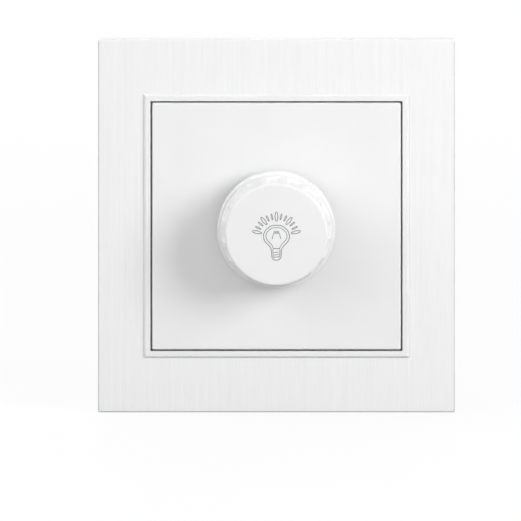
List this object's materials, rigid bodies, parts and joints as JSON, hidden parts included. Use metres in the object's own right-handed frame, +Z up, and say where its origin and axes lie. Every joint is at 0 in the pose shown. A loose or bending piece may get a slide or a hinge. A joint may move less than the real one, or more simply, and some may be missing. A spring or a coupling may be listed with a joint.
{
  "type": "rotary dimmer switch",
  "caption": "Flush wall dimmer: push-and-turn knob on a square insert plate in a wide brushed frame, with claw mounting plate, control unit and screw terminals behind.",
  "frame": {"origin": "on the wall plane, on the knob's axis", "axes": "+Z up, +X to the right seen from the room, +Y into the wall box"},
  "size_m": [0.082, 0.049, 0.0864],
  "materials": {
    "brushed_white": "white lacquer over fine upright brushing",
    "frame_white": "semi-gloss moulded",
    "plate_white": "smooth satin moulded",
    "knob_white": "smooth satin moulded, printed symbol",
    "nut_white": "moulded",
    "zinc_steel": "bright zinc plated",
    "claw_steel": "yellow zinc plated",
    "spring_steel": "bright drawn wire or strip",
    "brass": "turned",
    "sink_aluminium": "sheet, satin",
    "housing_grey": "flame retardant moulding, fine texture",
    "board_laminate": "solder resist over glass laminate",
    "control_black": "moulded",
    "control_blue": "moulded",
    "carbon_track": "printed carbon",
    "nylon_natural": "moulded",
    "ferrite": "coated powder core",
    "copper": "enamelled wire",
    "film_yellow": "potted box",
    "film_red": "dipped",
    "resistor_buff": "lacquered",
    "tinned": "tinned",
    "fuse_glass": "clear",
    "pad_grey": "thermal sheet"
  },
  "bodies": {
    "chassis": {"decor_frame": "brushed_white", "base_frame": "frame_white", "cover_plate": "plate_white", "cover_nut": "nut_white", "pot_bushing": "brass", "bushing_nut": "brass", "lock_washer": "zinc_steel", "support_plate": "zinc_steel", "claw_pins": "zinc_steel", "claw_screws": "zinc_steel", "heat_sink": "sink_aluminium", "housing_lid": "housing_grey", "housing_rear": "housing_grey", "terminal_block": "housing_grey", "terminal_pillars": "brass", "terminal_screws": "zinc_steel", "housing_screws": "zinc_steel", "board_screws": "zinc_steel", "circuit_board": "board_laminate", "pot_case": "control_black", "pot_terminals": "tinned", "resistive_track": "carbon_track", "switch_case": "control_black", "fixed_contacts": "brass", "return_spring": "spring_steel", "triac": "control_black", "triac_leads": "tinned", "triac_pad": "pad_grey", "triac_screw": "zinc_steel", "choke_core": "ferrite", "choke_winding": "copper", "filter_capacitor": "film_yellow", "timing_capacitor": "film_red", "diac": "control_blue", "resistors": "resistor_buff", "fuse_tube": "fuse_glass", "fuse_caps": "tinned", "fuse_clips": "tinned", "trimmer_body": "control_blue"},
    "rotor": {"wiper_carrier": "nylon_natural", "wiper_brush": "brass"},
    "knob_shaft": {"control_shaft": "nylon_natural", "knob": "knob_white", "knob_clip": "spring_steel", "shaft_circlip": "spring_steel"},
    "switch_slider": {"plunger": "nylon_natural", "moving_contact": "brass"},
    "left_claw": {"claw_left": "claw_steel"},
    "right_claw": {"claw_right": "claw_steel"},
    "trimmer_dial": {"trimmer_rotor": "nylon_natural"}
  },
  "joints": [
    {"name": "knob_turn", "type": "hinge", "parent": "chassis", "child": "rotor", "pos_m": [0, 0, 0], "axis": [0, 1, 0], "range_deg": [-135, 135]},
    {"name": "knob_push", "type": "slide", "parent": "rotor", "child": "knob_shaft", "axis": [0, 1, 0], "range_m": [0, 0.0015], "stiffness_N_per_m": 1500, "springref_m": -0.001},
    {"name": "plunger_push", "type": "slide", "parent": "chassis", "child": "switch_slider", "axis": [0, 1, 0], "range_m": [0, 0.0015], "deforming": ["return_spring"]},
    {"name": "left_claw_swing", "type": "hinge", "parent": "chassis", "child": "left_claw", "pos_m": [-0.0239, 0.008, 0.0076], "axis": [0, 0, 1], "range_deg": [0, 25]},
    {"name": "right_claw_swing", "type": "hinge", "parent": "chassis", "child": "right_claw", "pos_m": [0.0239, 0.008, -0.0076], "axis": [0, 0, -1], "range_deg": [0, 25]},
    {"name": "trimmer_turn", "type": "hinge", "parent": "chassis", "child": "trimmer_dial", "pos_m": [-0.0145, 0.0126, 0.0078], "axis": [0, 1, 0], "range_deg": [-120, 120]}
  ],
  "couplings": [
    {"joint": "plunger_push", "follows": "knob_push", "ratio": 1}
  ]
}
